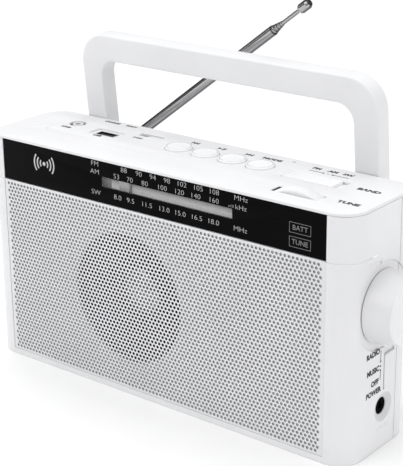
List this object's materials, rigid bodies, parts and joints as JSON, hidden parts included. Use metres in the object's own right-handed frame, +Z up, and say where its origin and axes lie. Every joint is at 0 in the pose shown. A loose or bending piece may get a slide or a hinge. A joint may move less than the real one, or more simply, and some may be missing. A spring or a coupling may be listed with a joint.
{
  "type": "tabletop radio",
  "caption": "Portable radio with a dial window over a perforated speaker grille, push buttons and tuning wheel on top, side volume knob, pull-up handle and telescopic antenna.",
  "frame": {"origin": "middle of the footprint, on the underside that rests on the table", "axes": "+X to the radio's right seen from the front, +Y to the back, +Z up; the dial faces -Y"},
  "size_m": [0.264, 0.086, 0.2163],
  "materials": {
    "white_shell": "fine satin moulding",
    "white_control": "smooth satin",
    "grille_metal": "satin silver paint",
    "window_black": "polished black acrylic",
    "scale_silver": "satin silver",
    "frame_grey": "matt",
    "pointer_red": "smooth",
    "cord_thread": "braided",
    "lamp_red": "clear dark red",
    "screw_steel": "zinc plated",
    "shaft_brass": "turned",
    "shaft_steel": "turned",
    "capacitor_film": "milky",
    "speaker_steel": "dark plating",
    "magnet_ferrite": "raw ferrite",
    "cone_paper": "pressed paper",
    "cap_foil": "satin foil",
    "switch_metal": "tin plated",
    "switch_black": "matt",
    "jack_white": "smooth",
    "board_green": "solder resist",
    "coil_copper": "enamelled wire",
    "cell_label": "printed sleeve",
    "antenna_chrome": "polished"
  },
  "bodies": {
    "case": {"front_housing": "white_shell", "top_panel": "white_shell", "back_cover": "white_shell", "handle_guides": "white_shell", "speaker_grille": "grille_metal", "dial_window": "window_black", "dial_scale": "scale_silver", "dial_frame": "frame_grey", "dial_cord": "cord_thread", "indicator_lamps": "lamp_red", "case_screws": "screw_steel", "volume_pot": "shaft_steel", "tuning_capacitor": "capacitor_film", "speaker_frame": "speaker_steel", "speaker_magnet": "magnet_ferrite", "ferrite_rod": "magnet_ferrite", "speaker_cone": "cone_paper", "speaker_dust_cap": "cap_foil", "band_switch": "switch_metal", "power_switch": "switch_metal", "usb_port": "switch_metal", "card_socket": "switch_metal", "battery_contacts": "switch_metal", "tact_switches": "switch_black", "earphone_jack": "switch_black", "aux_jack": "jack_white", "main_board": "board_green", "control_board": "board_green", "side_board": "board_green", "ferrite_coil": "coil_copper", "battery_cells": "cell_label"},
    "door": {"battery_door": "white_shell"},
    "carry_handle": {"handle": "white_shell"},
    "tuning": {"tuning_wheel": "white_control", "tuning_screw": "screw_steel", "tuning_shaft": "shaft_brass"},
    "pulley": {"cord_pulley": "frame_grey"},
    "pointer": {"dial_pointer": "pointer_red"},
    "volume": {"volume_knob": "white_control", "volume_shaft": "shaft_steel"},
    "band": {"band_slider": "white_control"},
    "power": {"power_slider": "white_control"},
    "previous": {"previous_button": "white_control"},
    "play": {"play_button": "white_control"},
    "next": {"next_button": "white_control"},
    "mode": {"mode_button": "white_control"},
    "antenna_foot": {"antenna_knuckle": "antenna_chrome", "antenna_pin": "antenna_chrome"},
    "antenna_1": {"antenna_tube_1": "antenna_chrome"},
    "antenna_2": {"antenna_tube_2": "antenna_chrome"},
    "antenna_3": {"antenna_tube_3": "antenna_chrome"},
    "antenna_4": {"antenna_tube_4": "antenna_chrome"},
    "antenna_5": {"antenna_tube_5": "antenna_chrome"},
    "antenna_tip": {"antenna_rod": "antenna_chrome"}
  },
  "joints": [
    {"name": "door_hinge", "type": "hinge", "parent": "case", "child": "door", "pos_m": [0, 0.0419, 0.0162], "axis": [-1, 0, 0], "range_deg": [0, 90]},
    {"name": "handle_slide", "type": "slide", "parent": "case", "child": "carry_handle", "axis": [0, -0.0958, 0.9954], "range_m": [-0.042, 0]},
    {"name": "tuning_turn", "type": "hinge", "parent": "case", "child": "tuning", "pos_m": [0.084, -0.0345, 0.1075], "axis": [0, 1, 0], "range_deg": [-30, 150]},
    {"name": "pulley_turn", "type": "hinge", "parent": "case", "child": "pulley", "pos_m": [-0.046, -0.0345, 0.11978], "axis": [0, 1, 0], "range_deg": [-68, 336]},
    {"name": "pointer_slide", "type": "slide", "parent": "case", "child": "pointer", "axis": [1, 0, 0], "range_m": [-0.0118, 0.0585]},
    {"name": "volume_turn", "type": "hinge", "parent": "case", "child": "volume", "pos_m": [0.13, -0.0133, 0.0803], "axis": [1, 0, 0], "range_deg": [-150, 150]},
    {"name": "band_slide", "type": "slide", "parent": "case", "child": "band", "axis": [1, 0, 0], "range_m": [0, 0.004]},
    {"name": "power_slide", "type": "slide", "parent": "case", "child": "power", "axis": [0, 0, 1], "range_m": [0, 0.0046]},
    {"name": "previous_press", "type": "slide", "parent": "case", "child": "previous", "axis": [0, 0, -1], "range_m": [0, 0.0008], "stiffness_N_per_m": 300, "springref_m": -0.0005},
    {"name": "play_press", "type": "slide", "parent": "case", "child": "play", "axis": [0, 0, -1], "range_m": [0, 0.0008], "stiffness_N_per_m": 300, "springref_m": -0.0005},
    {"name": "next_press", "type": "slide", "parent": "case", "child": "next", "axis": [0, 0, -1], "range_m": [0, 0.0008], "stiffness_N_per_m": 300, "springref_m": -0.0005},
    {"name": "mode_press", "type": "slide", "parent": "case", "child": "mode", "axis": [0, 0, -1], "range_m": [0, 0.0008], "stiffness_N_per_m": 300, "springref_m": -0.0005},
    {"name": "antenna_turn", "type": "hinge", "parent": "case", "child": "antenna_foot", "pos_m": [-0.086, 0.0375, 0.1162], "axis": [-1, 0, 0], "range_deg": [0, 90]},
    {"name": "antenna_tilt", "type": "hinge", "parent": "antenna_foot", "child": "antenna_1", "pos_m": [-0.086, 0.0375, 0.1162], "axis": [0, -1, 0], "range_deg": [-37.2, 52.8]},
    {"name": "antenna_slide_2", "type": "slide", "parent": "antenna_1", "child": "antenna_2", "axis": [0.7965, 0, 0.6046], "range_m": [0, 0.1]},
    {"name": "antenna_slide_3", "type": "slide", "parent": "antenna_2", "child": "antenna_3", "axis": [0.7965, 0, 0.6046], "range_m": [0, 0.1]},
    {"name": "antenna_slide_4", "type": "slide", "parent": "antenna_3", "child": "antenna_4", "axis": [0.7965, 0, 0.6046], "range_m": [0, 0.1]},
    {"name": "antenna_slide_5", "type": "slide", "parent": "antenna_4", "child": "antenna_5", "axis": [0.7965, 0, 0.6046], "range_m": [0, 0.1]},
    {"name": "antenna_slide_tip", "type": "slide", "parent": "antenna_5", "child": "antenna_tip", "axis": [0.7965, 0, 0.6046], "range_m": [-0.0135, 0.088]}
  ],
  "couplings": [
    {"joint": "pulley_turn", "follows": "tuning_turn", "ratio": 2.228},
    {"joint": "pointer_slide", "follows": "tuning_turn", "m_per_rad": 0.02228}
  ]
}
